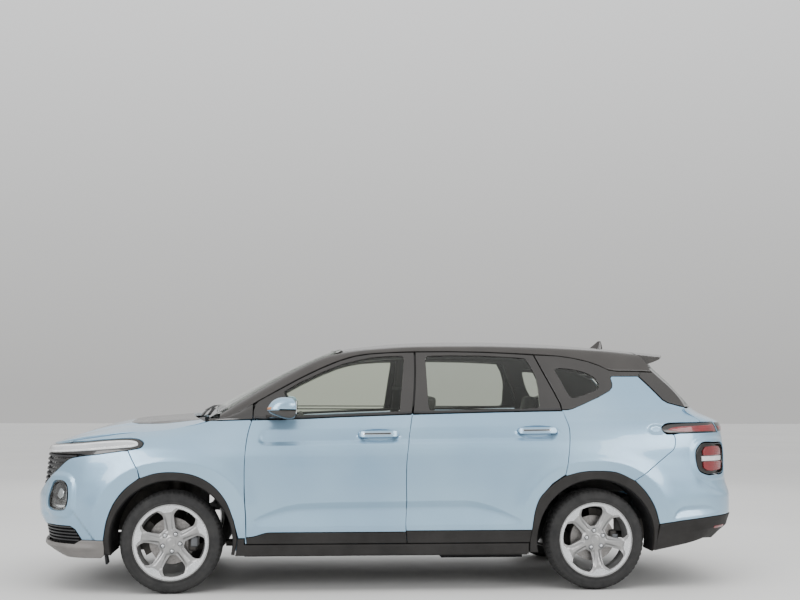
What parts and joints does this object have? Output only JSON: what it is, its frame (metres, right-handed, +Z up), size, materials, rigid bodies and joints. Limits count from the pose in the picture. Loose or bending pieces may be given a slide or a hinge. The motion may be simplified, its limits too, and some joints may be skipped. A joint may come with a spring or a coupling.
{
  "type": "compact minivan",
  "caption": "Compact family minivan with opening doors, hood and tailgate, free-rolling wheels and steered front wheels.",
  "frame": {"origin": "on the ground under the middle of the vehicle's outline", "axes": "+X towards the tail, the nose points to -X; +Y towards the right-hand side; +Z up"},
  "size_m": [4.855, 2.086, 1.6954],
  "materials": {
    "paint": "metallic gloss",
    "black_paint": "gloss",
    "cladding": "grained",
    "gloss_black": "gloss",
    "glass": "polished",
    "lamp_clear": "clear lens",
    "lamp_red": "red lens",
    "alloy": "machined",
    "tyre": "rubber",
    "steel": "bare",
    "cast": "cast",
    "interior": "soft grained",
    "fabric": "woven",
    "liner": "felted",
    "structure": "primer and paint"
  },
  "bodies": {
    "body_shell": {"body_side_left": "paint", "body_side_right": "paint", "dashboard": "interior", "engine_block": "cast", "exhaust": "steel", "fender_left": "paint", "fender_right": "paint", "floor_pan": "structure", "front_bumper": "paint", "front_suspension": "cast", "fuel_tank": "liner", "grille": "gloss_black", "headlamps": "lamp_clear", "quarter_windows": "glass", "rear_axle_beam": "cast", "rear_bumper": "paint", "roof_panel": "black_paint", "seats": "fabric", "sill_cladding": "cladding", "tail_lamps": "lamp_red", "wheel_arch_liners": "liner", "windshield": "glass"},
    "hood": {"hood": "paint"},
    "tailgate": {"tailgate": "paint", "tailgate_glass": "glass"},
    "front_door_left": {"door_front_left": "paint", "door_glass_front_left": "glass", "door_mirror_left": "gloss_black"},
    "front_door_right": {"door_front_right": "paint", "door_glass_front_right": "glass", "door_mirror_right": "gloss_black"},
    "rear_door_left": {"door_rear_left": "paint", "door_glass_rear_left": "glass"},
    "rear_door_right": {"door_rear_right": "paint", "door_glass_rear_right": "glass"},
    "steering": {"steering_wheel": "interior"},
    "carrier_left": {"knuckle_left": "cast"},
    "carrier_right": {"knuckle_right": "cast"},
    "wheel_front_left": {"rim_front_left": "alloy", "tyre_front_left": "tyre"},
    "wheel_front_right": {"rim_front_right": "alloy", "tyre_front_right": "tyre"},
    "wheel_rear_left": {"rim_rear_left": "alloy", "tyre_rear_left": "tyre"},
    "wheel_rear_right": {"rim_rear_right": "alloy", "tyre_rear_right": "tyre"}
  },
  "joints": [
    {"name": "front_door_left_hinge", "type": "hinge", "parent": "body_shell", "child": "front_door_left", "pos_m": [-0.9365, -0.918, 0.7], "axis": [0, 0, -1], "range_deg": [0, 65]},
    {"name": "front_door_right_hinge", "type": "hinge", "parent": "body_shell", "child": "front_door_right", "pos_m": [-0.9365, 0.918, 0.7], "axis": [0, 0, 1], "range_deg": [0, 65]},
    {"name": "rear_door_left_hinge", "type": "hinge", "parent": "body_shell", "child": "rear_door_left", "pos_m": [0.1315, -0.918, 0.7], "axis": [0, 0, -1], "range_deg": [0, 65]},
    {"name": "rear_door_right_hinge", "type": "hinge", "parent": "body_shell", "child": "rear_door_right", "pos_m": [0.1315, 0.918, 0.7], "axis": [0, 0, 1], "range_deg": [0, 65]},
    {"name": "hood_hinge", "type": "hinge", "parent": "body_shell", "child": "hood", "pos_m": [-1.2505, 0, 1.098], "axis": [0, 1, 0], "range_deg": [0, 55]},
    {"name": "tailgate_hinge", "type": "hinge", "parent": "body_shell", "child": "tailgate", "pos_m": [1.6465, 0, 1.596], "axis": [0, -1, 0], "range_deg": [0, 78]},
    {"name": "steer_left", "type": "hinge", "parent": "body_shell", "child": "carrier_left", "pos_m": [-1.4655, -0.735, 0.332], "axis": [0, 0, 1], "range_deg": [-35, 35]},
    {"name": "steer_right", "type": "hinge", "parent": "body_shell", "child": "carrier_right", "pos_m": [-1.4655, 0.735, 0.332], "axis": [0, 0, 1], "range_deg": [-35, 35]},
    {"name": "steering_wheel_turn", "type": "hinge", "parent": "body_shell", "child": "steering", "pos_m": [-0.5605, -0.385, 1], "axis": [0.9063, 0, 0.4226], "range_deg": [-525, 525]},
    {"name": "wheel_front_left_spin", "type": "hinge", "parent": "carrier_left", "child": "wheel_front_left", "pos_m": [-1.4655, -0.792, 0.332], "axis": [0, 1, 0], "continuous": true},
    {"name": "wheel_front_right_spin", "type": "hinge", "parent": "carrier_right", "child": "wheel_front_right", "pos_m": [-1.4655, 0.792, 0.332], "axis": [0, 1, 0], "continuous": true},
    {"name": "wheel_rear_left_spin", "type": "hinge", "parent": "body_shell", "child": "wheel_rear_left", "pos_m": [1.3345, -0.792, 0.332], "axis": [0, 1, 0], "continuous": true},
    {"name": "wheel_rear_right_spin", "type": "hinge", "parent": "body_shell", "child": "wheel_rear_right", "pos_m": [1.3345, 0.792, 0.332], "axis": [0, 1, 0], "continuous": true}
  ],
  "couplings": [
    {"joint": "steer_right", "follows": "steer_left", "ratio": 1},
    {"joint": "steering_wheel_turn", "follows": "steer_left", "ratio": 15}
  ]
}
